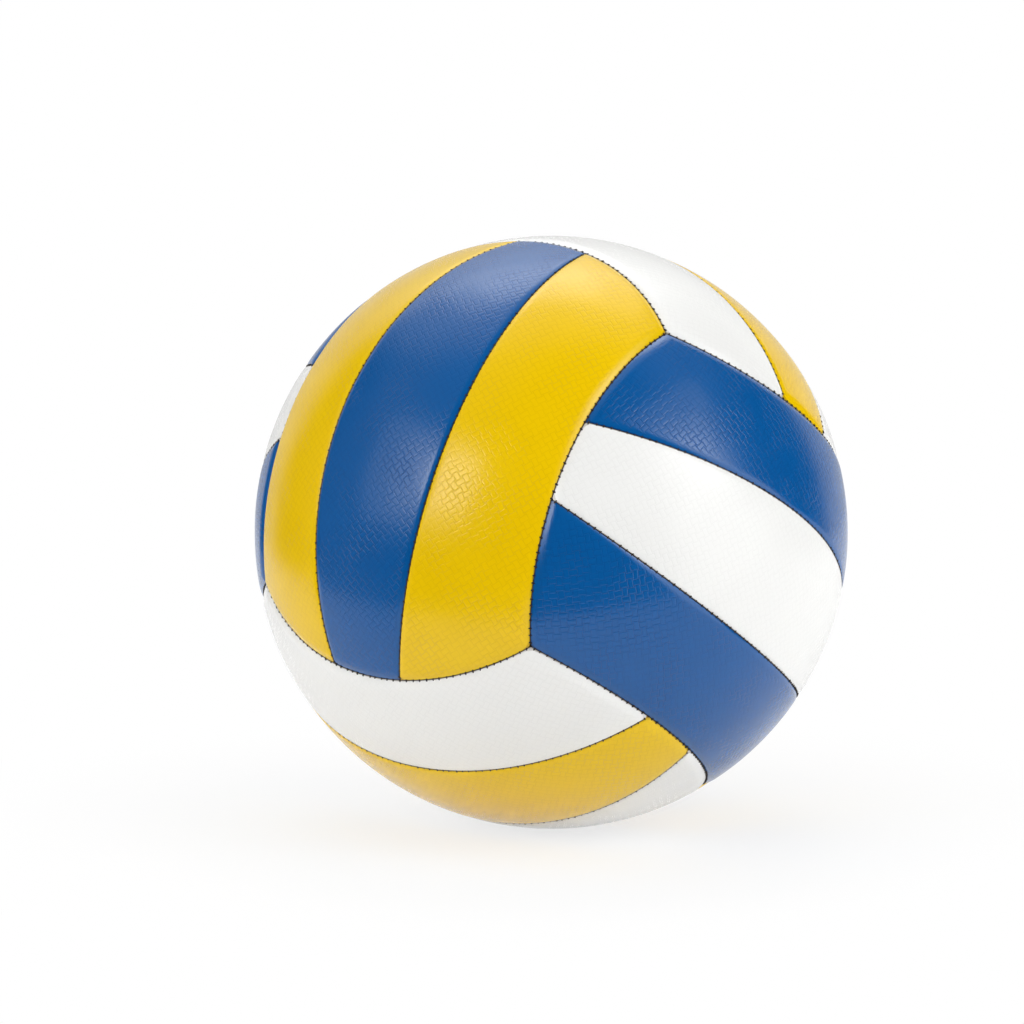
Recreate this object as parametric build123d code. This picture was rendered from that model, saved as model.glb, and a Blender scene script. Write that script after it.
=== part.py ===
from build123d import *
import math
import os

# An eighteen-panel sewn volleyball, lying as it was photographed, with its origin at its centre.
# The cover has six faces of three strips each. Every seam is an arc of a circle on the ball:
# a face's long sides lie on cones whose tips are at the ball's centre, and its two inner seams
# are meridians of the axis that its strips run along. One face is built on the ball's own axes,
# with its middle on +X, its strips side by side along Y and running along Z. It is then turned
# to the six faces, and the whole ball is turned to the way it rests.

# Cover, in millimetres and degrees
ball_diameter = 210.0
skin_thickness = 1.0
backing_thickness = 2.4
backing_clearance = 0.1
waist_angle = 36.1
strip_angle = 13.4
edge_roll = 2.0
corner_land = 0.5

# Stitching
thread_diameter = 0.6
thread_clearance = 0.05

# Bladder
bladder_wall = 0.7
bladder_clearance = 0.2

# Valve housing, a rubber tube whose flange is bonded inside the bladder
neck_diameter = 9.6
neck_recess = 0.4
neck_clearance = 0.2
housing_length = 23.0
flange_diameter = 26.0
flange_thickness = 1.4
flange_clearance = 0.1
hole_roll = 0.4

# Valve core, a plug that is pulled out of the housing, and the needle's way through it
core_head_diameter = 6.8
core_head_thickness = 1.2
core_head_chamfer = 0.3
core_stem_diameter = 5.0
core_stem_length = 17.0
core_clearance = 0.05
needle_bore_diameter = 2.1
needle_bore_length = 14.0
slit_width = 0.3
slit_length = 3.0

# The way the ball rests, as turns about X, then Y, then Z
rest_turns = (-22.9, 22.7, -123.0)

# Radii from the ball's centre, outermost first
ball_radius = ball_diameter / 2
skin_inner_radius = ball_radius - skin_thickness
cover_inner_radius = skin_inner_radius - backing_thickness
bladder_radius = cover_inner_radius - bladder_clearance
bladder_inner_radius = bladder_radius - bladder_wall
flange_radius = bladder_inner_radius - flange_clearance
thread_radius = ball_radius - edge_roll
half_seam = thread_diameter / 2 + thread_clearance

# The cone of a long side: it holds the middle of that side and the two corners of the ball's cube
corner_component = 1 / math.sqrt(3)
lean = math.radians(45 - waist_angle)
cone_turn = math.radians(45) + math.atan((math.cos(lean) - math.sqrt(2) * corner_component) / math.sin(lean))
cone_angle = cone_turn - math.radians(waist_angle)

# How far the patch of shell that a face is cut from reaches past the face
patch_margin = 3.0
patch_longitude = 45 + patch_margin
patch_latitude = 90 - waist_angle + patch_margin

across = Vector(0, 1, 0)
outward = Vector(1, 0, 0)
along = Vector(0, 0, 1)


def on_sphere(radius, distance):
    """The point of a circle round the ball's centre at a distance from the X axis."""
    return math.sqrt(radius**2 - distance**2), distance


def sphere_arc(radius, start, end):
    """An arc round the ball's centre between two distances from the X axis."""
    middle = on_sphere(radius, (start + end) / 2)
    return ThreePointArc(on_sphere(radius, start), middle, on_sphere(radius, end))


def shell_patch(inner, outer):
    """A patch of spherical shell round the +X axis, a little larger than a face."""
    arcs = [CenterArc((0, 0), radius, -patch_latitude, 2 * patch_latitude) for radius in (inner, outer)]
    ends = [Line(arcs[0] @ end, arcs[1] @ end) for end in (0, 1)]
    profile = Plane.XZ * make_face([*arcs, *ends])
    return Rot(Z=-patch_longitude) * revolve(profile, Axis.Z, 2 * patch_longitude)


def cone_axis(normal, side):
    """The axis of the cone on which a face's long side lies, for the face's normal and that side."""
    return normal * math.cos(cone_turn) + side * math.sin(cone_turn)


def seam_cone(normal, side, offset):
    """The solid cone of a long side, with its wall moved out by an offset."""
    axis = cone_axis(normal, side)
    far_side = side * math.cos(cone_turn) - normal * math.sin(cone_turn)
    tip = axis * (-offset / math.sin(cone_angle))
    height = ball_diameter
    cone = Cone(0, height * math.tan(cone_angle), height, align=(Align.CENTER, Align.CENTER, Align.MIN))
    return Plane(tip, x_dir=far_side, z_dir=axis) * cone


def beyond_strip_seam(offset):
    """Everything past the inner seam on the +Y side, beginning an offset after it."""
    block = Box(2 * ball_diameter, ball_diameter, 2 * ball_diameter, align=(Align.CENTER, Align.MIN, Align.CENTER))
    return Rot(Z=strip_angle) * Pos(0, offset, 0) * block


def face_region(inner, outer, inset):
    """A whole face between two radii, drawn in from its seams."""
    region = shell_patch(inner, outer)
    for end in (along, -along):
        region = region & seam_cone(end, outward, -inset)
    for side in (across, -across):
        region = region - seam_cone(outward, side, inset)
    return region


def middle_strip(inner, outer, inset):
    """The middle strip of a face between two radii."""
    beyond = beyond_strip_seam(-inset)
    return face_region(inner, outer, inset) - beyond - Rot(X=180) * beyond


def side_strip(inner, outer, inset):
    """The strip of a face on its +Y side between two radii."""
    return face_region(inner, outer, inset) & beyond_strip_seam(inset)


def reaches(point, radius):
    """Whether a point lies at a radius from the ball's centre."""
    return math.isclose(point.length, radius, abs_tol=1e-4)


def panel_skin(strip):
    """A strip's outer skin: a tray whose rolled sides are turned in over the backing."""
    skin = strip(cover_inner_radius, ball_radius, half_seam)
    corners = [e for e in skin.edges() if reaches(e @ 0, ball_radius) != reaches(e @ 1, ball_radius)]
    skin = fillet(corners, edge_roll + corner_land)
    rim = [e for e in skin.edges() if reaches(e @ 0, ball_radius) and reaches(e @ 1, ball_radius)]
    skin = fillet(rim, edge_roll)
    hollow = strip(cover_inner_radius - backing_thickness, skin_inner_radius, half_seam + skin_thickness)
    return skin - hollow


def panel_backing(strip):
    """The foam and lining glued inside a strip's skin."""
    inset = half_seam + skin_thickness + backing_clearance
    return strip(cover_inner_radius, skin_inner_radius - backing_clearance, inset)


def valve_hole(radius):
    """What a round hole at the middle of a face takes away."""
    return Plane.YZ * Cylinder(radius, ball_diameter, align=(Align.CENTER, Align.CENTER, Align.MIN))


def with_valve_hole(skin):
    """A middle skin with the hole that the valve's neck stands in, its rim rolled in."""
    radius = neck_diameter / 2 + neck_clearance
    skin = skin - valve_hole(radius)
    rim = [e for e in skin.edges() if e.geom_type == GeomType.CIRCLE or e.is_closed]
    outer_rim = max(rim, key=lambda e: (e @ 0).X if e.is_closed else 0)
    return fillet(outer_rim, hole_roll)


def edge_thread():
    """The thread in the long side between the +X face and the +Y face, clear of the corners' other threads."""
    axis = Axis((0, 0, 0), cone_axis(outward, across))
    ring_radius = thread_radius * math.sin(cone_angle)
    half_turn = math.asin(corner_component / math.sin(cone_angle)) - thread_diameter / ring_radius
    start = Rot(Z=waist_angle) * Pos(thread_radius, 0, 0)
    section = start * Circle(thread_diameter / 2)
    thread = revolve(section, axis, 2 * math.degrees(half_turn))
    return thread.rotate(axis, -math.degrees(half_turn))


def strip_thread():
    """The thread in the inner seam on the +Y side, clear of the threads at its two ends."""
    axis = Axis((0, 0, 0), Vector(0, -1, 0).rotate(Axis.Z, strip_angle))
    outward_part = math.cos(math.radians(strip_angle)) * math.sin(cone_turn)
    along_part = math.cos(cone_turn)
    reach = math.hypot(outward_part, along_part)
    latitude = math.atan2(along_part, outward_part) + math.acos(math.cos(cone_angle) / reach)
    half_turn = latitude - thread_diameter / thread_radius
    start = Rot(Z=strip_angle) * Pos(thread_radius, 0, 0)
    section = start * Circle(thread_diameter / 2)
    thread = revolve(section, axis, 2 * math.degrees(half_turn))
    return thread.rotate(axis, -math.degrees(half_turn))


def bladder():
    """The hollow rubber bladder with the hole that the valve's neck comes out of."""
    hole = neck_diameter / 2 + neck_clearance
    arcs = []
    for radius in (bladder_radius, bladder_inner_radius):
        start = on_sphere(radius, hole)
        arcs.append(ThreePointArc(start, (0, radius), (-radius, 0)))
    ends = [Line(arcs[0] @ end, arcs[1] @ end) for end in (0, 1)]
    return revolve(make_face([*arcs, *ends]), Axis.X)


def valve_housing():
    """The rubber tube that holds the core, with its flange against the inside of the bladder."""
    neck = neck_diameter / 2
    flange = flange_diameter / 2
    bore = core_stem_diameter / 2 + core_clearance
    seat = core_head_diameter / 2 + core_clearance
    top = ball_radius - neck_recess
    seat_floor = top - core_head_thickness - core_clearance
    bottom = top - housing_length
    flange_back = flange_radius - flange_thickness
    outline = [
        Polyline(on_sphere(flange_back, neck), (bottom, neck), (bottom, bore), (seat_floor, bore)),
        Polyline((seat_floor, bore), (seat_floor, seat), (top, seat), (top, neck), on_sphere(flange_radius, neck)),
        sphere_arc(flange_radius, neck, flange),
        Line(on_sphere(flange_radius, flange), on_sphere(flange_back, flange)),
        sphere_arc(flange_back, flange, neck),
    ]
    return revolve(make_face(outline), Axis.X)


def valve_core():
    """The plug in the housing, with the needle's bore and the slit that closes behind the needle."""
    head = core_head_diameter / 2
    stem = core_stem_diameter / 2
    needle = needle_bore_diameter / 2
    top = ball_radius - neck_recess
    head_floor = top - core_head_thickness
    bottom = head_floor - core_stem_length
    bore_floor = top - needle_bore_length
    outline = Polyline(
        (top, needle),
        (top, head - core_head_chamfer),
        (top - core_head_chamfer, head),
        (head_floor, head),
        (head_floor, stem),
        (bottom, stem),
        (bottom, 0),
        (bore_floor, 0),
        (bore_floor, needle),
        close=True,
    )
    core = revolve(make_face(outline), Axis.X)
    lips = bore_floor - bottom
    slit = Box(2 * lips, slit_width, slit_length)
    return core - Pos((bore_floor + bottom) / 2, 0, 0) * slit


# The six faces: thirds of a turn about the cube's diagonal, whether on the far side, and what lies
# at the +Y and -Y sides of the face as it was built
faces = {
    "front": (0, False, "right", "left", "right", "left"),
    "right": (1, False, "upper", "lower", "top", "bottom"),
    "top": (2, False, "front", "rear", "front", "back"),
    "back": (0, True, "left", "right", "left", "right"),
    "left": (1, True, "lower", "upper", "bottom", "top"),
    "bottom": (2, True, "rear", "front", "back", "front"),
}
valve_face = "back"


def onto_face(shape, face):
    """Turns a shape from the face it was built on to one of the six faces of the resting ball."""
    thirds, far_side = faces[face][:2]
    if far_side:
        shape = shape.rotate(Axis.Z, 180)
    shape = shape.rotate(Axis((0, 0, 0), (1, 1, 1)), 120 * thirds)
    return Rot(*rest_turns) * shape


def save(name, *shapes):
    """Writes one named piece, or a group of like ones."""
    group = shapes[0] if len(shapes) == 1 else Compound(children=[solid for s in shapes for solid in s.solids()])
    export_step(group, f"parts/{name}.step")


def mirrored_side(shape):
    """A shape of the +Y side turned over to the -Y side of its face."""
    return shape.rotate(Axis.X, 180)


def main():
    os.makedirs("parts", exist_ok=True)
    middle_skin = panel_skin(middle_strip)
    side_skin = panel_skin(side_strip)
    middle_backing = panel_backing(middle_strip)
    side_backing = panel_backing(side_strip)
    valve_skin = with_valve_hole(middle_skin)
    valve_backing = middle_backing - valve_hole(neck_diameter / 2 + neck_clearance)
    inner_thread = strip_thread()
    outer_thread = edge_thread()
    for face, (_, _, plus_strip, minus_strip, plus_face, minus_face) in faces.items():
        skin, backing = (valve_skin, valve_backing) if face == valve_face else (middle_skin, middle_backing)
        save(f"{face}_middle_panel", onto_face(skin, face))
        save(f"{face}_middle_backing", onto_face(backing, face))
        for strip, turn_over in ((plus_strip, False), (minus_strip, True)):
            for kind, shape in (("panel", side_skin), ("backing", side_backing)):
                placed = mirrored_side(shape) if turn_over else shape
                save(f"{face}_{strip}_{kind}", onto_face(placed, face))
        save(f"{face}_strip_threads", onto_face(inner_thread, face), onto_face(mirrored_side(inner_thread), face))
        save(f"{face}_to_{plus_face}_thread", onto_face(outer_thread, face))
        save(f"{face}_to_{minus_face}_thread", onto_face(mirrored_side(outer_thread), face))
    save("bladder", onto_face(bladder(), valve_face))
    save("valve_housing", onto_face(valve_housing(), valve_face))
    save("valve_core", onto_face(valve_core(), valve_face))


main()
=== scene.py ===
import math
from collections import namedtuple

import bpy
import numpy as np
from mathutils import Matrix, Vector


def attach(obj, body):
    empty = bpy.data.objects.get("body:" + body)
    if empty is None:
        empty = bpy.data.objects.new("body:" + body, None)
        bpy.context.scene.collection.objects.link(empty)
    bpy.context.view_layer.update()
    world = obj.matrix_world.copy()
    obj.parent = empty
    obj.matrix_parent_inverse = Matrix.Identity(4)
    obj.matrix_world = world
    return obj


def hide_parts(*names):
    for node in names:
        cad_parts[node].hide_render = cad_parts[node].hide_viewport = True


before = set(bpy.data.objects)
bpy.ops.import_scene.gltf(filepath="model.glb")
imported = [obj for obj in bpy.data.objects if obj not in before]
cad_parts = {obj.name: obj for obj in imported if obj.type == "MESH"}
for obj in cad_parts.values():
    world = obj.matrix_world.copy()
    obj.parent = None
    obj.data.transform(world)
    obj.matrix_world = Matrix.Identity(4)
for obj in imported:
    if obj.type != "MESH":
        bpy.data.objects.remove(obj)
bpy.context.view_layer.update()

# The looks of an eighteen-panel sewn volleyball. Each panel is a crowned leather pad with a rolled edge,
# and each seam a dark thread with single stitches that bridge it. Lengths here are in millimetres on a
# ball round the origin, and become metres when a mesh is made.

metres = 0.001

# Turns in degrees, and a length that keeps a division from zero
half_turn = 180
third_turn = 120
tiny = 1e-9

# The ball's own sizes, as its solids have them
ball_radius = 105.0
cover_inner_radius = 101.6
waist_angle = 36.1
strip_angle = math.radians(13.4)
rest_turns = (-22.9, 22.7, -123.0)
hole_radius = 5.0
hole_roll = 0.4

# A long side's cone, which holds the side's middle and two corners of the ball's cube
cube_edge_angle = 45
corner_component = 1 / math.sqrt(3)
lean = math.radians(cube_edge_angle - waist_angle)
axis_slope = (math.cos(lean) - math.sqrt(2) * corner_component) / math.sin(lean)
cone_turn = math.radians(cube_edge_angle) + math.atan(axis_slope)
cone_angle = cone_turn - math.radians(waist_angle)

# The soft bend of a panel's edge, wider at a face's border than at its inner seams. Over its width its
# slope grows to the one given here, as a power of the way it has come.
Bend = namedtuple("Bend", "width slope power")
border_bend = Bend(width=4.0, slope=math.radians(25), power=1)
inner_bend = Bend(width=2.8, slope=math.radians(22), power=2)
bend_steps = 10

# The tight turn from the bend into the seam, with the slope it ends at, and half the gap it leaves
half_gap = 0.12
turn_radius = 0.35
turn_slope = math.radians(72)
turn_steps = 5

# The shallow pull of the seams on a panel, and the slow swells of a cover sewn by hand
edge_pull = 0.12
pull_width = 4.0
swell_height = 0.12
swell_length = 30.0
swell_count = 12
swell_seed = 7

# A panel's grid: the width of the edge with lines of its own, the places of the last of these between the
# bend and there, the radii of its corners, and the rounds in which its points settle
edge_width = 7.8
rise_shares = (0.22, 0.56, 1.0)
face_corner_radius = 0.9
strip_corner_radius = 0.5
grid_spacing = 2.0
settle_rounds = 30
settle_share = 0.55

# The valve's hole: half the block of the grid that it takes, the flat margin beyond its lip, the places of
# the rings between the block's border and there, and the steps of its lip
hole_grid_spacing = 1.25
hole_block = 6
hole_margin = 0.3
hole_ring_shares = (0.3, 0.6, 0.85, 1.0)
hole_roll_steps = 5

# A panel on the square that its finish is baked on: the spacing and width of its two halves, the start and
# width of its inside, and the margins
bake_half_spacing = 0.46
bake_half_width = 0.44
bake_inside_start = 0.92
bake_inside_width = 0.07
bake_side_margin = 0.005
bake_end_margin = 0.01

# The thread that lies in a seam, with the corners of the faces that close its end
thread_radius = 0.28
thread_sink = 0.29
thread_step = 1.2
thread_sides = 6
thread_cap = np.array([[0, 1, 2, 3], [0, 3, 4, 5]])

# The stitches that bridge a seam: the places of a stitch's rings along it, in half lengths, their girths,
# and the corners of the faces that close its ends
stitch_pitch = 2.7
stitch_length = 1.25
stitch_radius = 0.27
stitch_bow = 0.12
stitch_slant = 0.2
border_stitch_rise = 0.1
inner_stitch_rise = 0.0
stitch_sides = 8
stitch_stations = np.array([-1.0, -0.93, -0.62, -0.2, 0.2, 0.62, 0.93, 1.0])
stitch_girths = np.array([0.25, 0.62, 0.93, 1.0, 1.0, 0.93, 0.62, 0.25])
stitch_cap = ((0, 1, 2, 3), (0, 3, 4, 7), (4, 5, 6, 7))

# How far stitches differ in place along the seam, as a share of their pitch, in slant, rise and size
slide_spread = 0.12
slant_spread = 0.18
rise_spread = 0.08
size_spread = 0.12
seeds_apart = 10

# Each face: thirds of a turn about the cube's diagonal, whether on the far side, the names of the strips
# at its +Y and -Y sides, the faces beyond these, and the colours of its side strips and middle strip
Face = namedtuple(
    "Face",
    "thirds far_side plus_strip minus_strip plus_face minus_face side_colour middle_colour",
)
faces = {
    "front": Face(0, False, "right", "left", "right", "left", "yellow", "blue"),
    "right": Face(1, False, "upper", "lower", "top", "bottom", "blue", "white"),
    "top": Face(2, False, "front", "rear", "front", "back", "white", "yellow"),
    "back": Face(0, True, "left", "right", "left", "right", "yellow", "blue"),
    "left": Face(1, True, "lower", "upper", "bottom", "top", "blue", "white"),
    "bottom": Face(2, True, "rear", "front", "back", "front", "white", "yellow"),
}
valve_face = "back"


def turn(axis, degrees):
    """The matrix of a turn about an axis."""
    return np.array(Matrix.Rotation(math.radians(degrees), 3, axis))


resting = turn("X", rest_turns[0]) @ turn("Y", rest_turns[1]) @ turn("Z", rest_turns[2])


def face_matrix(face, turned_over):
    """Turns points from the face they were built on to a face of the resting ball."""
    matrix = resting @ turn(Vector((1, 1, 1)), third_turn * face.thirds)
    if face.far_side:
        matrix = matrix @ turn("Z", half_turn)
    if turned_over:
        matrix = matrix @ turn("X", half_turn)
    return matrix


# Seams, as lines on the ball drawn in by an inset

def long_side_longitude(latitude, inset):
    """Longitude of a face's long side on its +Y side."""
    return cone_turn - np.arccos(np.cos(cone_angle + inset / ball_radius) / np.cos(latitude))


def from_strip_seam(latitude, inset):
    """The longitude between an inner seam and a line at an inset from it."""
    return np.arcsin(inset / (ball_radius * np.cos(latitude)))


def end_latitude(longitude, inset):
    """Latitude of a face's end on its +Z side."""
    outward_part = np.cos(longitude) * math.sin(cone_turn)
    along_part = math.cos(cone_turn)
    reach = np.hypot(outward_part, along_part)
    beyond_axis = np.arccos(np.cos(cone_angle - inset / ball_radius) / reach)
    return np.arctan2(along_part, outward_part) + beyond_axis


def directions(longitude, latitude):
    """Unit vectors from the ball's centre."""
    level = np.cos(latitude)
    return np.stack([level * np.cos(longitude), level * np.sin(longitude), np.sin(latitude)], -1)


def angle_to(points, axis):
    """Angles between unit vectors and an axis."""
    return np.arccos(np.clip(points @ np.array(axis), -1, 1))


def strip_limits(middle, latitude, low_inset, high_inset):
    """Longitudes of a strip's two long borders."""
    if middle:
        return (
            -strip_angle + from_strip_seam(latitude, low_inset),
            strip_angle - from_strip_seam(latitude, high_inset),
        )
    return strip_angle + from_strip_seam(latitude, low_inset), long_side_longitude(latitude, high_inset)


def end_angles(points):
    """The angles from points of a face to its two ends."""
    axes = [(math.sin(cone_turn), 0, side * math.cos(cone_turn)) for side in (1, -1)]
    return [cone_angle - angle_to(points, axis) for axis in axes]


def border_distances(middle, longitude, latitude):
    """How far each point of a strip is from its four walls."""
    points = directions(longitude, latitude)
    level = np.cos(latitude)
    ends = end_angles(points)
    low_seam = -strip_angle if middle else strip_angle
    low = np.arcsin(level * np.sin(longitude - low_seam))
    if middle:
        high = np.arcsin(level * np.sin(strip_angle - longitude))
    else:
        high = angle_to(points, (math.cos(cone_turn), math.sin(cone_turn), 0)) - cone_angle
    return [np.maximum(ball_radius * angle - half_gap, 0) for angle in (low, high, *ends)]


# Panels

def turn_reach(bend):
    """How far from its wall a panel's edge starts its tight turn."""
    return turn_radius * (math.sin(turn_slope) - math.sin(bend.slope))


def edge_reach(bend):
    """How far from its wall a panel's edge starts to fall."""
    return turn_reach(bend) + bend.width


def edge_lines(bend):
    """Distances from a panel's wall of the grid lines along its edge."""
    turned = np.linspace(turn_slope, bend.slope, turn_steps + 1)
    bent = np.linspace(0, bend.width, bend_steps + 1)[1:]
    return np.concatenate([
        turn_radius * (math.sin(turn_slope) - np.sin(turned)),
        turn_reach(bend) + bent,
        edge_reach(bend) + (edge_width - edge_reach(bend)) * np.array(rise_shares),
    ])


def bend_drop(distance, bend):
    """How far the soft bend of a panel's edge has fallen at a distance from its wall."""
    share = np.clip((edge_reach(bend) - distance) / bend.width, 0, 1)
    return math.tan(bend.slope) * bend.width * share ** (bend.power + 1) / (bend.power + 1)


def edge_drop(distance, bend):
    """How far a panel's edge has fallen, by its bend and its tight turn."""
    turned = np.arcsin(math.sin(bend.slope) + np.maximum(turn_reach(bend) - distance, 0) / turn_radius)
    return bend_drop(distance, bend) + turn_radius * (math.cos(bend.slope) - np.cos(turned))


def swell(points):
    """How far each point of the cover stands out or in, by slow waves over the ball."""
    draw = np.random.default_rng(swell_seed)
    waves = draw.normal(size=(3, swell_count)) * math.pi / swell_length
    return swell_height * np.sin(points @ waves + draw.uniform(0, 2 * math.pi, swell_count)).mean(1)


def grid_lines(length, spacing, low_bend, high_bend):
    """A panel's grid lines: each line's share of the way between the borders and distance from its wall."""
    low, high = edge_lines(low_bend), edge_lines(high_bend)
    inner_count = 2 * round((length - 2 * edge_width) / spacing / 2) - 1
    shares = np.arange(1, inner_count + 1) / (inner_count + 1)
    share = np.concatenate([np.zeros(len(low)), shares, np.ones(len(high))])
    wall = np.concatenate([low, np.full(inner_count, edge_width), high[::-1]])
    return share, wall


def rounded(first, second, radius):
    """Distances from two walls, moved so that lines round the corner between the walls are arcs."""
    first_short = np.maximum(radius - first, 0)
    second_short = np.maximum(radius - second, 0)
    in_corner = (first_short > 0) & (second_short > 0)
    straight = np.maximum(np.hypot(first_short, second_short), tiny)
    squeeze = np.where(in_corner, np.maximum(first_short, second_short) / straight, 1)
    return (
        np.where(in_corner, radius - first_short * squeeze, first),
        np.where(in_corner, radius - second_short * squeeze, second),
    )


def panel_surface(middle, spacing):
    """A strip's outer and inner points on a grid, with its flat coordinates and distances to its seams."""
    width = ball_radius * (2 * strip_angle if middle else long_side_longitude(0, 0) - strip_angle)
    length = 2 * ball_radius * end_latitude(strip_angle, 0)
    high_bend = inner_bend if middle else border_bend
    share_across, wall_across = (x[:, None] for x in grid_lines(width, spacing, inner_bend, high_bend))
    share_along, wall_along = (x[None, :] for x in grid_lines(length, spacing, border_bend, border_bend))
    at_border = (share_across > 0.5) & (not middle)
    corner = np.where(at_border, face_corner_radius, strip_corner_radius)
    insets = rounded(*np.broadcast_arrays(wall_across, wall_along), corner)
    inset_across, inset_along = (inset + half_gap for inset in insets)
    latitude = np.zeros(inset_across.shape)
    for _ in range(settle_rounds):
        low, high = strip_limits(middle, latitude, inset_across, inset_across)
        longitude = low + (high - low) * share_across
        latitude += settle_share * (end_latitude(longitude, inset_along) * (2 * share_along - 1) - latitude)
    distances = border_distances(middle, longitude, latitude)
    fullness = np.prod([1 - np.exp(-d / pull_width) for d in distances], 0)
    seam_distance = -np.log(sum(np.exp(-d) for d in distances))
    side_drop = np.where(at_border, edge_drop(wall_across, border_bend), edge_drop(wall_across, inner_bend))
    drop = np.maximum(side_drop, edge_drop(wall_along, border_bend)) + edge_pull * (1 - fullness)
    points = directions(longitude, latitude)
    middle_longitude = sum(strip_limits(middle, 0.0, 0.0, 0.0)) / 2
    flat = ball_radius * np.stack([(longitude - middle_longitude) * np.cos(latitude), latitude], -1)
    return points * (ball_radius - drop)[..., None], points * cover_inner_radius, flat, seam_distance


class Patch:
    """Faces and points gathered for one panel."""

    def __init__(self):
        self.points, self.flat, self.seam = [], [], []
        self.faces, self.inside, self.count = [], [], 0

    def add_points(self, points, flat, seam):
        """Adds points and returns their numbers, in the same layout."""
        shape = points.shape[:-1]
        numbers = self.count + np.arange(int(np.prod(shape))).reshape(shape)
        self.points.append(points.reshape(-1, 3))
        self.flat.append(flat.reshape(-1, 2))
        self.seam.append(np.clip(seam, 0, None).reshape(-1))
        self.count += numbers.size
        return numbers

    def add_grid(self, n, keep, flip):
        """Adds the faces of a grid of point numbers."""
        quads = np.stack([n[:-1, :-1], n[1:, :-1], n[1:, 1:], n[:-1, 1:]], -1)[keep]
        self.faces.append(quads[:, ::-1] if flip else quads)
        self.inside.append(np.full(len(quads), flip))

    def add_ring(self, outer, inner, inside=False):
        """Adds a ring of faces between two loops of point numbers."""
        quads = np.stack([outer, np.roll(outer, -1), np.roll(inner, -1), inner], -1)
        self.faces.append(quads)
        self.inside.append(np.full(len(quads), inside))


def around(n):
    """The loop of point numbers at a grid's border, anticlockwise."""
    return np.concatenate([n[:-1, 0], n[-1, :-1], n[:0:-1, -1], n[0, :0:-1]])


def add_hole(patch, outer, inner, outer_points):
    """Fills the block left open at a panel's middle with the rolled rim of a round hole."""
    loop, inner_loop = around(outer), around(inner)
    square = np.stack([around(outer_points[..., k]) for k in (1, 2)], -1)
    angle = np.arctan2(square[:, 1], square[:, 0])
    circle = np.stack([np.cos(angle), np.sin(angle)], -1)
    wide = hole_radius + hole_roll
    flat_ring = circle * (wide + hole_margin)
    rings = [(square + (flat_ring - square) * share, 0.0) for share in hole_ring_shares]
    for a in np.linspace(0, math.pi / 2, hole_roll_steps + 1):
        rings.append((circle * (wide - hole_roll * math.sin(a)), hole_roll * (1 - math.cos(a))))
    for plan, drop in rings:
        level = np.hypot(plan[:, 0], plan[:, 1])
        height = np.sqrt(ball_radius**2 - level**2) - drop
        ring = patch.add_points(np.column_stack([height, plan]), plan, level - hole_radius)
        patch.add_ring(loop, ring)
        loop = ring
    plan = circle * hole_radius
    height = np.full(len(plan), math.sqrt(cover_inner_radius**2 - hole_radius**2))
    ring = patch.add_points(np.column_stack([height, plan]), plan, np.zeros(len(plan)))
    patch.add_ring(loop, ring)
    patch.add_ring(ring, inner_loop, True)


def panel_patch(middle, with_hole):
    """All points and faces of one kind of panel, closed, on the face it is built on."""
    outer, inner, flat, seam = panel_surface(middle, hole_grid_spacing if with_hole else grid_spacing)
    patch = Patch()
    top = patch.add_points(outer, flat, seam)
    under = patch.add_points(inner, flat, seam)
    keep = np.ones((top.shape[0] - 1, top.shape[1] - 1), bool)
    if with_hole:
        across, along = (np.s_[s // 2 - hole_block : s // 2 + hole_block] for s in top.shape)
        keep[across, along] = False
        block = tuple(np.s_[s.start : s.stop + 1] for s in (across, along))
        add_hole(patch, top[block], under[block], outer[block])
    patch.add_grid(top, keep, False)
    patch.add_grid(under, keep, True)
    loop = around(top)
    patch.add_ring(loop[::-1], around(under)[::-1])
    return patch


def bake_layout(patch, quads, inside):
    """Flat places for a panel's face corners: its two halves side by side, its inside small beside them."""
    flat = np.concatenate(patch.flat)
    low, high = flat.min(0), flat.max(0)
    places = flat[quads]
    shares = (places - low) / (high - low)
    upper = places[..., 1].mean(1) > 0
    half_start = np.where(upper, bake_half_spacing, 0.0)[:, None]
    half_across = shares[..., 0] * bake_half_width + bake_side_margin + half_start
    inside_across = shares[..., 0] * bake_inside_width + bake_inside_start
    across = np.where(inside[:, None], inside_across, half_across)
    along = np.where(inside[:, None], shares[..., 1], np.abs(places[..., 1]) / high[1])
    return np.stack([across, along * (1 - 2 * bake_end_margin) + bake_end_margin], -1)


def new_mesh(name, points, quads):
    """A smooth mesh object from points in millimetres and faces of four corners."""
    mesh = bpy.data.meshes.new(name)
    mesh.vertices.add(len(points))
    mesh.vertices.foreach_set("co", (points * metres).astype(np.float32).ravel())
    mesh.loops.add(quads.size)
    mesh.loops.foreach_set("vertex_index", quads.astype(np.int32).ravel())
    mesh.polygons.add(len(quads))
    mesh.polygons.foreach_set("loop_start", np.arange(0, quads.size, 4, dtype=np.int32))
    mesh.update(calc_edges=True)
    mesh.validate()
    mesh.shade_smooth()
    piece = bpy.data.objects.new(name, mesh)
    bpy.context.scene.collection.objects.link(piece)
    return piece


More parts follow.
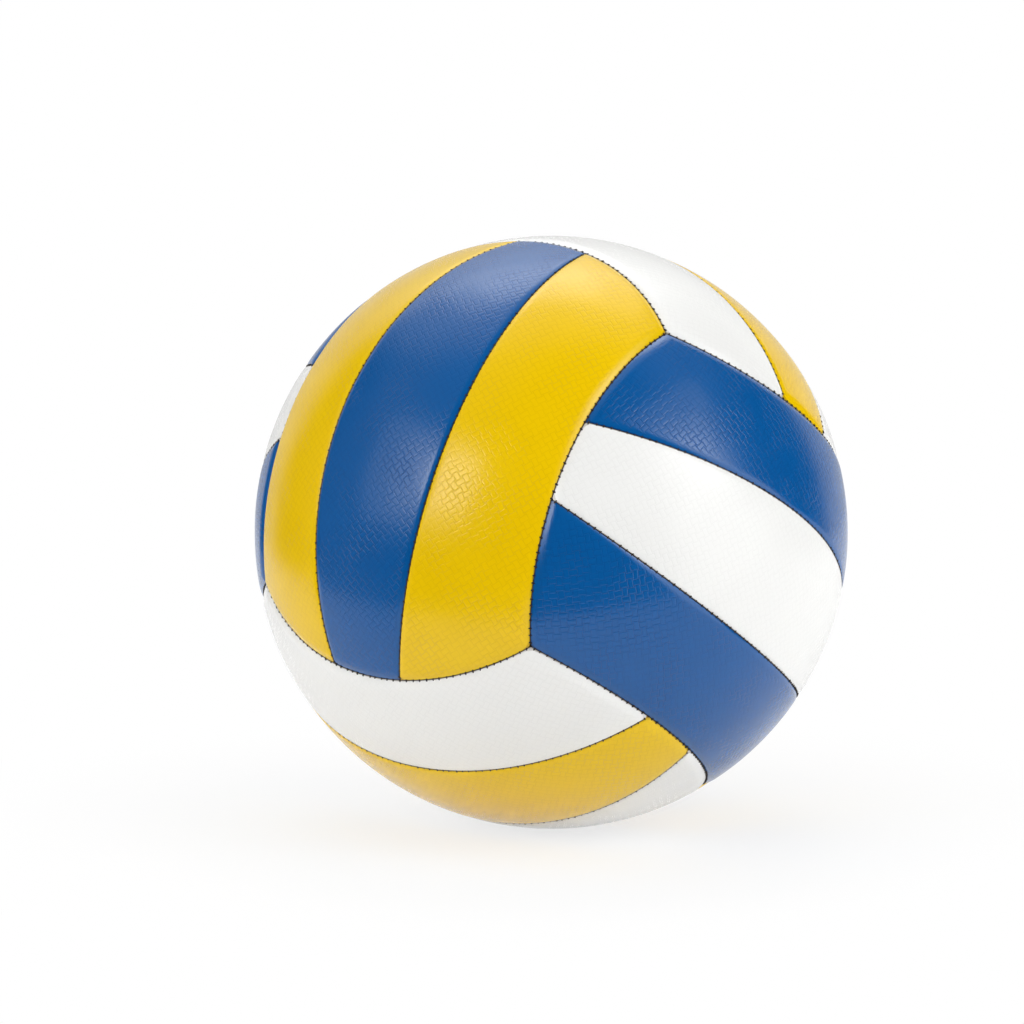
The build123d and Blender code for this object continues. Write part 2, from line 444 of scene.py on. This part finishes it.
def make_panel(name, patch, matrix, colour, number):
    """One panel of the ball, turned to its place."""
    quads, inside = np.concatenate(patch.faces), np.concatenate(patch.inside)
    points = np.concatenate(patch.points) @ matrix.T
    piece = new_mesh(name, points * (1 + swell(points) / ball_radius)[:, None], quads)
    mesh = piece.data
    shift = np.random.default_rng(number).uniform(0, weave_shift, 2)
    flat = np.concatenate(patch.flat) + shift
    flat = np.column_stack([flat, np.zeros(len(flat))])
    strip = mesh.attributes.new("strip_mm", "FLOAT_VECTOR", "POINT")
    strip.data.foreach_set("vector", flat.astype(np.float32).ravel())
    seam = mesh.attributes.new("seam_mm", "FLOAT", "POINT")
    seam.data.foreach_set("value", np.concatenate(patch.seam).astype(np.float32))
    layer = mesh.uv_layers.new(name="OFBake")
    layer.uv.foreach_set("vector", bake_layout(patch, quads, inside).astype(np.float32).ravel())
    mesh.materials.append(leather[colour])
    mesh.materials.append(lining)
    mesh.polygons.foreach_set("material_index", inside.astype(np.int32))
    return piece


# Seam threads

def along_long_side(step):
    """Unit vectors along a face's long side on its +Y side."""
    half = math.asin(corner_component / math.sin(cone_angle))
    count = max(2, round(2 * half * math.sin(cone_angle) * ball_radius / step))
    t = (np.arange(count + 1) / count - 0.5) * 2 * half
    axis = np.array([math.cos(cone_turn), math.sin(cone_turn), 0])
    toward = np.array([math.sin(cone_turn), -math.cos(cone_turn), 0])
    rim = np.cos(t)[:, None] * toward + np.sin(t)[:, None] * np.array([0, 0, 1])
    return math.cos(cone_angle) * axis + math.sin(cone_angle) * rim


def along_strip_seam(step):
    """Unit vectors along a face's inner seam on its +Y side."""
    half = float(end_latitude(strip_angle, 0))
    count = max(2, round(2 * half * ball_radius / step))
    latitude = (np.arange(count + 1) / count - 0.5) * 2 * half
    return directions(np.full(count + 1, strip_angle), latitude)


def seam_ways(points):
    """At each point of a seam: the way along it and the way across it."""
    forward = np.gradient(points, axis=0)
    forward /= np.linalg.norm(forward, axis=1)[:, None]
    return forward, np.cross(points, forward)


def seam_depth(points, bend):
    """How deep the feet of the bends lie along a seam, deeper where it runs into a face's end."""
    to_end = ball_radius * np.min(end_angles(points), 0)
    return np.maximum(bend_drop(0, bend), bend_drop(to_end, border_bend)) + edge_pull


def ring_ways(sides, first, second):
    """At each place, the ways out to the points of a ring, from the ring's two axes there."""
    angles = np.arange(sides)[:, None] * 2 * math.pi / sides
    return np.cos(angles) * first[:, None, :] + np.sin(angles) * second[:, None, :]


def thread_tube(line, bend):
    """The thread between the edges in a seam."""
    points = line(thread_step)[1:-1]
    _, sideways = seam_ways(points)
    height = ball_radius - seam_depth(points, bend) - thread_sink
    ring = thread_radius * ring_ways(thread_sides, sideways, points)
    tube = points[:, None, :] * height[:, None, None] + ring
    n = np.arange(len(points) * thread_sides).reshape(-1, thread_sides)
    turned = np.roll(n, -1, 1)
    quads = np.stack([n[:-1], n[1:], turned[1:], turned[:-1]], -1).reshape(-1, 4)
    return tube.reshape(-1, 3), np.concatenate([quads, n[0, thread_cap], n[-1, thread_cap[:, ::-1]]])


def stitches(line, bend, seed):
    """The short stitches that bridge a seam, each a bead that dips into both edges."""
    points = line(stitch_pitch)
    forward, sideways = seam_ways(points)
    points, forward, sideways = points[:-1], forward[:-1], sideways[:-1]
    count = len(points)
    draw = np.random.default_rng(seed)
    slide = 0.5 + draw.uniform(-slide_spread, slide_spread, count)
    slant = stitch_slant + draw.uniform(-slant_spread, slant_spread, count)
    seam_rise = border_stitch_rise if bend == border_bend else inner_stitch_rise
    rise = seam_rise + draw.uniform(-rise_spread, rise_spread, count)
    size = 1 + draw.uniform(-size_spread, size_spread, count)
    centre = points * ball_radius + forward * (slide * stitch_pitch)[:, None]
    centre /= np.linalg.norm(centre, axis=1)[:, None]
    way = sideways + forward * slant[:, None]
    way -= (way * centre).sum(1)[:, None] * centre
    way /= np.linalg.norm(way, axis=1)[:, None]
    beside = np.cross(centre, way)
    places = centre * (ball_radius - seam_depth(centre, bend) + rise)[:, None]
    half = stitch_length / 2 * size
    bow = -stitch_bow * stitch_stations**2
    spine = (
        places[:, None, :]
        + way[:, None, :] * (half[:, None] * stitch_stations)[..., None]
        + centre[:, None, :] * bow[None, :, None]
    )
    radius = (stitch_radius * size)[:, None] * stitch_girths
    ring = ring_ways(stitch_sides, beside, centre)
    beads = spine[:, :, None, :] + radius[:, :, None, None] * ring[:, None, :, :]
    n = np.arange(beads[..., 0].size).reshape(beads.shape[:-1])
    turned = np.roll(n, -1, 2)
    quads = np.stack([n[:, :-1], turned[:, :-1], turned[:, 1:], n[:, 1:]], -1).reshape(-1, 4)
    caps = [loop[:, corners] for loop in (n[:, 0, ::-1], n[:, -1]) for corners in stitch_cap]
    return beads.reshape(-1, 3), np.concatenate([quads, *caps])


def make_threads(name, line, bend, matrices, number):
    """The thread and stitches of one seam, or of a face's two inner seams."""
    points, quads, count = [], [], 0
    for k, matrix in enumerate(matrices):
        sewn = stitches(line, bend, seeds_apart * number + k)
        for part_points, part_quads in (thread_tube(line, bend), sewn):
            points.append(part_points @ matrix.T)
            quads.append(part_quads + count)
            count += len(part_points)
    piece = new_mesh(name, np.concatenate(points), np.concatenate(quads))
    piece.data.materials.append(thread)
    return piece


# Materials

def linear(*levels):
    """A colour given in screen levels of 0 to 255, as linear light by the sRGB standard's curve."""
    shares = [v / 255 for v in levels]
    return [s / 12.92 if s <= 0.04045 else ((s + 0.055) / 1.055) ** 2.4 for s in shares] + [1.0]


class Nodes:
    """The node tree of a material or of the world."""

    def __init__(self, owner):
        self.owner = owner
        owner.use_nodes = True
        self.tree = owner.node_tree
        self.shader = self.tree.nodes.get("Principled BSDF")

    def new(self, kind, settings=None, **inputs):
        """A node with its settings, and with inputs given by name, or by number as i0, i1 and on."""
        made = self.tree.nodes.new(kind)
        for key, value in (settings or {}).items():
            setattr(made, key, value)
        for key, value in inputs.items():
            self.put(made, int(key[1:]) if key[1:].isdigit() else key, value)
        return made

    def put(self, made, key, value):
        """Sets one input, or links it to another node's output."""
        if isinstance(value, bpy.types.NodeSocket):
            self.tree.links.new(value, made.inputs[key])
        else:
            made.inputs[key].default_value = value

    def sum(self, operation, first, second=0.0):
        """The outcome of a sum on one or two numbers."""
        return self.new("ShaderNodeMath", {"operation": operation}, i0=first, i1=second).outputs[0]

    def vector_sum(self, operation, **inputs):
        """The outputs of a sum on vectors."""
        return self.new("ShaderNodeVectorMath", {"operation": operation}, **inputs).outputs

    def ramp(self, value, low, high, start, end):
        """A smooth change from start to end while a value goes from low to high."""
        settings = {"interpolation_type": "SMOOTHSTEP"}
        made = self.new("ShaderNodeMapRange", settings, i0=value, i1=low, i2=high, i3=start, i4=end)
        return made.outputs[0]

    def blend(self, share, first, second):
        """A colour between two others."""
        made = self.new("ShaderNodeMix", {"data_type": "RGBA"})
        for key, value in ((0, share), (6, first), (7, second)):
            self.put(made, key, value)
        return made.outputs[2]

    def noise(self, vector, scale, detail):
        """A cloudy pattern."""
        return self.new("ShaderNodeTexNoise", Vector=vector, Scale=scale, Detail=detail).outputs[0]

    def bump(self, height, distance, normal=None):
        """A surface raised by a pattern."""
        made = self.new("ShaderNodeBump", Height=height, Distance=distance, Strength=1.0)
        if normal is not None:
            self.put(made, "Normal", normal)
        return made.outputs[0]


# Cloudy patterns: the detail of soft and fine ones, and the limits between which most of a pattern lies
soft_detail = 2.0
fine_detail = 3.0
noise_low = 0.3
noise_high = 0.7

# The embossed plain weave: the spacing of its threads both ways, its turn from the strip's width, and half
# the width and length of the stretches where a thread shows, in spacings
weave_spacing = (2.5, 2.4)
weave_turn = math.radians(51)
float_half_width = 0.37
float_half_length = 0.62

# How the weave lies: how far its start may be shifted on a panel, and the slow wobble of its threads.
# Scales on the leather are repeats for a millimetre.
weave_shift = 50.0
wobble_scale = 0.12
wobble_detail = 1.0
wobble_reach = 1.4

# The weave's relief: the shoulders of its threads and the grooves between these, in spacings, the distances
# from a seam where it starts and is in full, and the patches where it is shallower
shoulder_width = 0.11
shoulder_height = 0.75
groove_width = 0.08
relief_start = 0.6
relief_full = 2.8
patch_scale = 0.06
least_relief = 0.3

# The leather's tone: painted shade in the weave's grooves, a darker tone in wide clouds, and a darker,
# browner tone in patches along the seams
painted_groove_shade = 0.6
cloud_scale = 0.025
cloud_shade = 0.1
seam_tone_full = 0.05
seam_tone_end = 0.5
seam_tone_scale = 0.35
seam_tone_share = 0.6
least_seam_tone = 0.35

# The leather's film: its roughness on the threads and in the grooves, and its grain
film_rough = 0.17
groove_rough = 0.3
film_grain_scale = 2.6
film_grain_rough = 0.08
film_grain_height = 0.006


def weave_depth(n, flat):
    """How far each place of the weave is from the nearest line between two threads, in spacings."""
    split = n.new("ShaderNodeSeparateXYZ", i0=flat).outputs
    ways = [(math.cos(a), math.sin(a)) for a in (weave_turn, weave_turn - math.pi / 2)]
    cells, offsets = [], []
    for (across, along), spacing in zip(ways, weave_spacing):
        part_across = n.sum("MULTIPLY", split[0], across / spacing)
        part_along = n.sum("MULTIPLY", split[1], along / spacing)
        place = n.sum("ADD", part_across, part_along)
        cells.append(n.sum("FLOOR", place))
        offsets.append(n.sum("ABSOLUTE", n.sum("SUBTRACT", n.sum("FRACT", place), 0.5)))
    parity = n.sum("FLOORED_MODULO", n.sum("ADD", *cells), 2.0)
    swing = n.sum("MULTIPLY", parity, n.sum("SUBTRACT", offsets[1], offsets[0]))
    sideways = n.sum("ADD", offsets[0], swing)
    lengthways = n.sum("SUBTRACT", offsets[1], swing)
    beside = n.sum("SUBTRACT", float_half_width, sideways)
    beyond = n.sum("SUBTRACT", float_half_width, lengthways)
    own = n.sum("MINIMUM", beside, n.sum("SUBTRACT", float_half_length, lengthways))
    crossing = n.sum("MINIMUM", beyond, n.sum("SUBTRACT", sideways, 1 - float_half_length))
    between = n.sum("MULTIPLY", n.sum("MAXIMUM", beside, beyond), -1.0)
    return n.sum("MAXIMUM", n.sum("MAXIMUM", own, crossing), between)


def woven_relief(n, flat, seam):
    """The height of the weave and the mark of its grooves, which both fade towards the panel's edges."""
    inside = n.ramp(seam, relief_start, relief_full, 0.0, 1.0)
    patchy = n.ramp(n.noise(flat, patch_scale, fine_detail), noise_low, noise_high, least_relief, 1.0)
    relief = n.sum("MULTIPLY", inside, patchy)
    wobble = n.new("ShaderNodeTexNoise", Vector=flat, Scale=wobble_scale, Detail=wobble_detail)
    reach = (wobble_reach, wobble_reach, 0.0)
    woven = n.vector_sum("MULTIPLY_ADD", i0=wobble.outputs["Color"], i1=reach, i2=flat)[0]
    weave = weave_depth(n, woven)
    shoulder = n.ramp(weave, 0.0, shoulder_width, 0.0, shoulder_height)
    crown = n.ramp(weave, 0.0, float_half_width, 0.0, 1 - shoulder_height)
    height = n.sum("MULTIPLY", n.sum("ADD", shoulder, crown), relief)
    groove = n.sum("MULTIPLY", n.ramp(weave, 0.0, groove_width, 1.0, 0.0), relief)
    return height, groove


def make_leather(name, colour, shade, seam_tone, depth, gloss):
    """Synthetic leather with a woven emboss of a given depth, and a film whose gloss is its index."""
    n = Nodes(bpy.data.materials.new(name))
    flat = n.new("ShaderNodeAttribute", {"attribute_name": "strip_mm"}).outputs["Vector"]
    seam = n.new("ShaderNodeAttribute", {"attribute_name": "seam_mm"}).outputs["Fac"]
    height, groove = woven_relief(n, flat, seam)
    grain = n.noise(flat, film_grain_scale, fine_detail)
    cloud = n.ramp(n.noise(flat, cloud_scale, soft_detail), noise_low, noise_high, 0.0, 1.0)
    # The weave's grooves are darkened towards the shade colour: painted shade in their recesses.
    tone = n.blend(n.sum("MULTIPLY", groove, painted_groove_shade), colour, shade)
    tone = n.blend(n.sum("MULTIPLY", cloud, cloud_shade), tone, shade)
    # Darker and browner within half a millimetre of a seam, in patches.
    uneven_patches = n.ramp(n.noise(flat, seam_tone_scale, fine_detail), noise_low, noise_high, least_seam_tone, 1.0)
    near_seam = n.sum("MULTIPLY", n.ramp(seam, seam_tone_full, seam_tone_end, 1.0, 0.0), uneven_patches)
    tone = n.blend(n.sum("MULTIPLY", near_seam, seam_tone_share), tone, seam_tone)
    uneven = n.sum("MULTIPLY", n.sum("SUBTRACT", grain, 0.5), film_grain_rough)
    rough = n.sum("ADD", n.ramp(groove, 0.0, 1.0, film_rough, groove_rough), uneven)
    n.put(n.shader, "Base Color", tone)
    n.put(n.shader, "Roughness", rough)
    n.put(n.shader, "IOR", gloss)
    fine = n.bump(grain, film_grain_height * metres)
    n.put(n.shader, "Normal", n.bump(height, depth * metres, fine))
    return n.owner


# The thread's plies and wear, the lining's knit and the rubber's bloom and grain. Scales here are repeats
# for a metre.
ply_scale = 900.0
ply_waver = 1.5
ply_share = 0.8
wear_scale = 500.0
wear_start = 0.5
wear_full = 0.75
wear_share = 0.4
knit_scale = 900.0
bloom_scale = 160.0
bloom_detail = 4.0
bloom_start = 0.35
bloom_full = 0.75
rubber_grain_scale = 2500.0
rubber_grain_height = 0.02


def make_thread(rough):
    """Dark waxed sewing thread with the slant of its plies."""
    n = Nodes(bpy.data.materials.new("sewing_thread"))
    place = n.new("ShaderNodeTexCoord").outputs["Object"]
    slanted = {"bands_direction": "DIAGONAL"}
    plies = n.new("ShaderNodeTexWave", slanted, Vector=place, Scale=ply_scale, Distortion=ply_waver)
    uneven_patches = n.ramp(n.noise(place, wear_scale, fine_detail), wear_start, wear_full, 0.0, wear_share)
    pale = n.sum("MULTIPLY", plies.outputs[1], ply_share)
    tone = n.blend(pale, linear(22, 17, 13), linear(52, 42, 32))
    n.put(n.shader, "Base Color", n.blend(uneven_patches, tone, linear(80, 66, 50)))
    n.put(n.shader, "Roughness", rough)
    return n.owner


def make_lining(rough):
    """The knitted cloth that lines the foam inside a panel."""
    n = Nodes(bpy.data.materials.new("panel_lining"))
    place = n.new("ShaderNodeTexCoord").outputs["Object"]
    knit = n.new("ShaderNodeTexVoronoi", Vector=place, Scale=knit_scale).outputs[0]
    n.put(n.shader, "Base Color", n.blend(knit, linear(226, 222, 210), linear(190, 186, 176)))
    n.put(n.shader, "Roughness", rough)
    return n.owner


def make_rubber(name, colour, speck, rough, grain_height):
    """Moulded rubber with a dusty bloom, and with a grain where this is given a height."""
    n = Nodes(bpy.data.materials.new(name))
    place = n.new("ShaderNodeTexCoord").outputs["Object"]
    bloom = n.ramp(n.noise(place, bloom_scale, bloom_detail), bloom_start, bloom_full, 0.0, 1.0)
    n.put(n.shader, "Base Color", n.blend(bloom, colour, speck))
    n.put(n.shader, "Roughness", rough)
    if grain_height:
        grain = n.noise(place, rubber_grain_scale, soft_detail)
        n.put(n.shader, "Normal", n.bump(grain, grain_height * metres))
    return n.owner


leather = {
    "yellow": make_leather(
        "panel_yellow",
        colour=linear(237, 196, 5),
        shade=linear(207, 161, 3),
        seam_tone=linear(120, 84, 16),
        depth=0.043,
        gloss=1.42,
    ),
    "blue": make_leather(
        "panel_blue",
        colour=linear(9, 86, 153),
        shade=linear(6, 62, 123),
        seam_tone=linear(12, 30, 58),
        depth=0.068,
        gloss=1.48,
    ),
    "white": make_leather(
        "panel_white",
        colour=linear(240, 240, 238),
        shade=linear(226, 226, 224),
        seam_tone=linear(150, 138, 120),
        depth=0.035,
        gloss=1.45,
    ),
}
lining = make_lining(rough=0.9)
thread = make_thread(rough=0.7)
cad_materials = {
    "bladder": make_rubber(
        "bladder_rubber",
        colour=linear(30, 30, 32),
        speck=linear(52, 52, 54),
        rough=0.6,
        grain_height=0,
    ),
    "valve_housing": make_rubber(
        "valve_rubber",
        colour=linear(42, 42, 44),
        speck=linear(66, 66, 68),
        rough=0.55,
        grain_height=rubber_grain_height,
    ),
    "valve_core": make_rubber(
        "core_rubber",
        colour=linear(200, 196, 186),
        speck=linear(170, 166, 156),
        rough=0.5,
        grain_height=rubber_grain_height,
    ),
}


# Pieces

def dress(piece, body, slot, *nodes):
    """Says what a piece rides on and stands for. The slot it is given is not used."""
    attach(piece, body)
    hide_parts(*nodes)


side_patch = panel_patch(False, False)
middle_patch = panel_patch(True, False)
valve_patch = panel_patch(True, True)
number = 0
for name, face in faces.items():
    plain, over = face_matrix(face, False), face_matrix(face, True)
    strips = (
        ("middle", valve_patch if name == valve_face else middle_patch, plain, face.middle_colour),
        (face.plus_strip, side_patch, plain, face.side_colour),
        (face.minus_strip, side_patch, over, face.side_colour),
    )
    for strip, patch, matrix, colour in strips:
        number += 1
        panel = make_panel(f"{name}_{strip}_pad", patch, matrix, colour, number)
        dress(panel, "ball", f"panel_{colour}", f"{name}_{strip}_panel", f"{name}_{strip}_backing")
    seams = (
        (f"{name}_strip", "threads", along_strip_seam, inner_bend, (plain, over)),
        (f"{name}_to_{face.plus_face}", "thread", along_long_side, border_bend, (plain,)),
        (f"{name}_to_{face.minus_face}", "thread", along_long_side, border_bend, (over,)),
    )
    for seam, kind, line, bend, matrices in seams:
        number += 1
        sewn = make_threads(f"{seam}_stitches", line, bend, matrices, number)
        dress(sewn, "ball", "sewing_thread", f"{seam}_{kind}")

for node, material in cad_materials.items():
    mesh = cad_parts[node].data
    mesh.materials.clear()
    mesh.materials.append(material)


# Camera, with the ball framed as in the photograph

camera_height = math.radians(8.0)
camera_distance = 2.037
camera_lens = 202.0
camera_sensor = 36.0
aim_right, aim_up = -0.01385, 0.00714
backward = Vector((0, -math.cos(camera_height), math.sin(camera_height)))
upward = Vector((0, math.sin(camera_height), math.cos(camera_height)))
camera = bpy.data.objects.new("camera", bpy.data.cameras.new("camera"))
camera.data.lens = camera_lens
camera.data.sensor_width = camera_sensor
camera.location = backward * camera_distance
aim = Vector((aim_right, 0, 0)) + upward * aim_up
camera.rotation_mode = "QUATERNION"
camera.rotation_quaternion = (aim - camera.location).to_track_quat("-Z", "Y")
bpy.context.scene.collection.objects.link(camera)
bpy.context.scene.camera = camera


# Floor and light

# A round table under the ball. It looks whiter away from the ball: where this starts and is complete, in
# metres, and how white it looks at the start
table_radius = 0.65
table_place = (0.12, 0.33, -ball_radius * metres)
table_corners = 96
table_colour = (0.93, 0.93, 0.93, 1.0)
whitening_start = 0.05
whitening_end = 0.24
whiteness_near = 0.75
white = (1.0, 1.0, 1.0, 1.0)

# The even light of the room, from wide parts of it: bearing and level
fill_width = math.radians(150)
fills = (
    ("front_fill", 180, 15, 1.05),
    ("right_fill", 65, 10, 0.86),
    ("left_fill", -65, 10, 0.95),
    ("top_fill", 0, 80, 0.57),
)

# What the room shows in reflections, a wall behind the ball, a ceiling and three dim glows at the sides:
# bearing, the angles from there where it starts to fade and has faded, level
reflected = (
    (0, 5, 42, 52, 0.7),
    (-10, 62, 20, 40, 0.81),
    (-92, 60, 12, 34, 0.28),
    (80, 56, 6, 22, 0.33),
    (-95, 12, 15, 40, 0.2),
)

# Soft lamps, brighter towards their middles: bearing, size as seen from the ball, level
lamp_distance = 1.4
lamps = (
    ("top_lamp", 0, 62, 44, 28, 1.08),
    ("top_lamp_core", -4, 63, 26, 16, 1.6),
    ("left_lamp", -125, 23, 44, 34, 0.95),
    ("left_lamp_middle", -130, 23, 31, 26, 1.2),
    ("left_lamp_core", -139, 23, 18, 18, 3.4),
    ("right_lamp", 118, 28, 40, 44, 0.98),
    ("right_lamp_middle", 118, 26, 27, 31, 1.35),
    ("right_lamp_core", 117, 27, 15, 17, 2.4),
    ("right_lamp_foot", 112, -3, 40, 24, 1.75),
)


def bearing(azimuth, elevation):
    """A way out from the ball: azimuth 0 is behind it as the camera sees it, 90 to the right."""
    level = math.cos(math.radians(elevation))
    across = level * math.sin(math.radians(azimuth))
    return Vector((across, level * math.cos(math.radians(azimuth)), math.sin(math.radians(elevation))))


def make_floor():
    """A pale round table that looks white but keeps the ball's shadow, and can't be seen from below."""
    bpy.ops.mesh.primitive_circle_add(
        vertices=table_corners,
        radius=table_radius,
        fill_type="NGON",
        location=table_place,
    )
    floor = bpy.context.object
    floor.name = "floor"
    n = Nodes(bpy.data.materials.new("floor"))
    n.tree.nodes.remove(n.shader)
    matt = n.new("ShaderNodeBsdfDiffuse", Color=table_colour)
    glow = n.new("ShaderNodeEmission", Color=white, Strength=1.0)
    spot = n.new("ShaderNodeTexCoord").outputs["Object"]
    from_ball = n.vector_sum("ADD", i0=spot, i1=(table_place[0], table_place[1], 0.0))[0]
    away = n.vector_sum("LENGTH", i0=from_ball)["Value"]
    path = n.new("ShaderNodeLightPath").outputs
    seen = n.sum("MAXIMUM", path["Is Camera Ray"], path["Is Glossy Ray"])
    share = n.sum("MULTIPLY", seen, n.ramp(away, whitening_start, whitening_end, whiteness_near, 1.0))
    shown = n.new("ShaderNodeMixShader", i0=share, i1=matt.outputs[0], i2=glow.outputs[0])
    clear = n.new("ShaderNodeBsdfTransparent")
    behind = n.new("ShaderNodeNewGeometry").outputs["Backfacing"]
    both = n.new("ShaderNodeMixShader", i0=behind, i1=shown.outputs[0], i2=clear.outputs[0])
    n.put(n.tree.nodes["Material Output"], "Surface", both.outputs[0])
    floor.data.materials.append(n.owner)


def make_world():
    """White behind the ball for the camera. Reflections show a dark room with a wall, ceiling and glows."""
    world = bpy.data.worlds.new("studio")
    bpy.context.scene.world = world
    n = Nodes(world)
    sky = n.tree.nodes["Background"]
    way = n.new("ShaderNodeTexCoord").outputs["Generated"]
    shown = 0.0
    for azimuth, elevation, full, faded, level in reflected:
        toward = n.vector_sum("DOT_PRODUCT", i0=way, i1=bearing(azimuth, elevation))["Value"]
        limits = math.cos(math.radians(faded)), math.cos(math.radians(full))
        shown = n.sum("ADD", shown, n.ramp(toward, *limits, 0.0, level))
    path = n.new("ShaderNodeLightPath").outputs
    seen = n.sum("MAXIMUM", path["Is Camera Ray"], path["Is Transmission Ray"])
    n.put(sky, "Color", white)
    n.put(sky, "Strength", n.sum("MAXIMUM", seen, n.sum("MULTIPLY", path["Is Glossy Ray"], shown)))


def place_light(light, azimuth, elevation):
    """Puts a light at a bearing, turned to the ball."""
    made = bpy.data.objects.new(light.name, light)
    made.location = bearing(azimuth, elevation) * lamp_distance
    made.rotation_mode = "QUATERNION"
    made.rotation_quaternion = (-made.location).to_track_quat("-Z", "Y")
    bpy.context.scene.collection.objects.link(made)
    return made


def make_fill(name, azimuth, elevation, level):
    """Light from a wide part of the room, which reflections don't show."""
    light = bpy.data.lights.new(name, "SUN")
    light.angle = fill_width
    light.energy = level
    light.cycles.use_multiple_importance_sampling = False
    place_light(light, azimuth, elevation).visible_glossy = False


def make_lamp(name, azimuth, elevation, width, height, level):
    """A soft lamp that faces the ball: its bearing and size as seen from there, and its brightness."""
    light = bpy.data.lights.new(name, "AREA")
    light.shape = "RECTANGLE"
    light.size = 2 * lamp_distance * math.tan(math.radians(width / 2))
    light.size_y = 2 * lamp_distance * math.tan(math.radians(height / 2))
    light.energy = level * math.pi * light.size * light.size_y
    place_light(light, azimuth, elevation)


make_floor()
make_world()
for fill in fills:
    make_fill(*fill)
for lamp in lamps:
    make_lamp(*lamp)

bpy.context.scene.view_settings.view_transform = "Standard"
